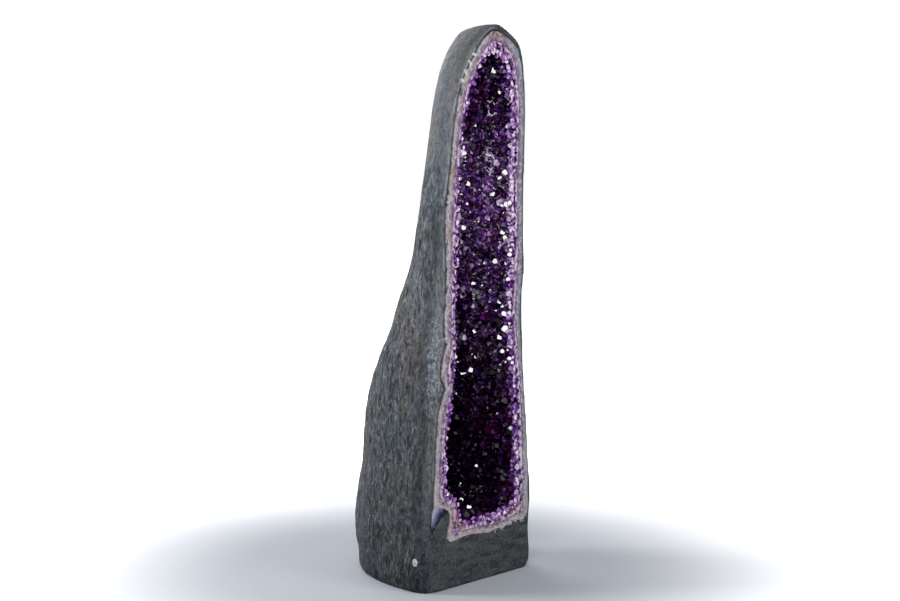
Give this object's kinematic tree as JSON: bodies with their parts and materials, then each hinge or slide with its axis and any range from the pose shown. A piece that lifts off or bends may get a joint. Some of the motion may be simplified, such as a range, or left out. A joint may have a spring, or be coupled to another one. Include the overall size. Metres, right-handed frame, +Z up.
{
  "type": "amethyst geode",
  "caption": "Free-standing sawn basalt geode with a pale agate rim around a deep hollow lined with purple amethyst crystals, on a flat base.",
  "frame": {"origin": "centre of the flat base, on the surface it stands on", "axes": "+Z up from base to crown, -Y out of the sawn face with the hollow, +X to the right seen from the front"},
  "size_m": [0.307, 0.2847, 1],
  "materials": {
    "basalt": "satin",
    "agate": "satin",
    "amethyst_bed": "satin",
    "amethyst": "gloss",
    "blue_chalcedony": "satin",
    "quartz": "satin"
  },
  "bodies": {
    "root": {"basalt_shell": "basalt", "agate_band": "agate", "amethyst_druse": "amethyst_bed", "chalcedony_fold": "blue_chalcedony", "quartz_amygdale": "quartz", "amethyst_crystal_01": "amethyst", "amethyst_crystal_02": "amethyst", "amethyst_crystal_03": "amethyst", "amethyst_crystal_04": "amethyst", "amethyst_crystal_05": "amethyst", "amethyst_crystal_06": "amethyst", "amethyst_crystal_07": "amethyst", "amethyst_crystal_08": "amethyst", "amethyst_crystal_09": "amethyst", "amethyst_crystal_10": "amethyst", "amethyst_crystal_11": "amethyst", "amethyst_crystal_12": "amethyst", "amethyst_crystal_13": "amethyst", "amethyst_crystal_14": "amethyst", "amethyst_crystal_15": "amethyst", "amethyst_crystal_16": "amethyst", "amethyst_crystal_17": "amethyst", "amethyst_crystal_18": "amethyst", "amethyst_crystal_19": "amethyst", "amethyst_crystal_20": "amethyst", "amethyst_crystal_21": "amethyst", "amethyst_crystal_22": "amethyst", "amethyst_crystal_23": "amethyst", "amethyst_crystal_24": "amethyst"}
  },
  "joints": []
}
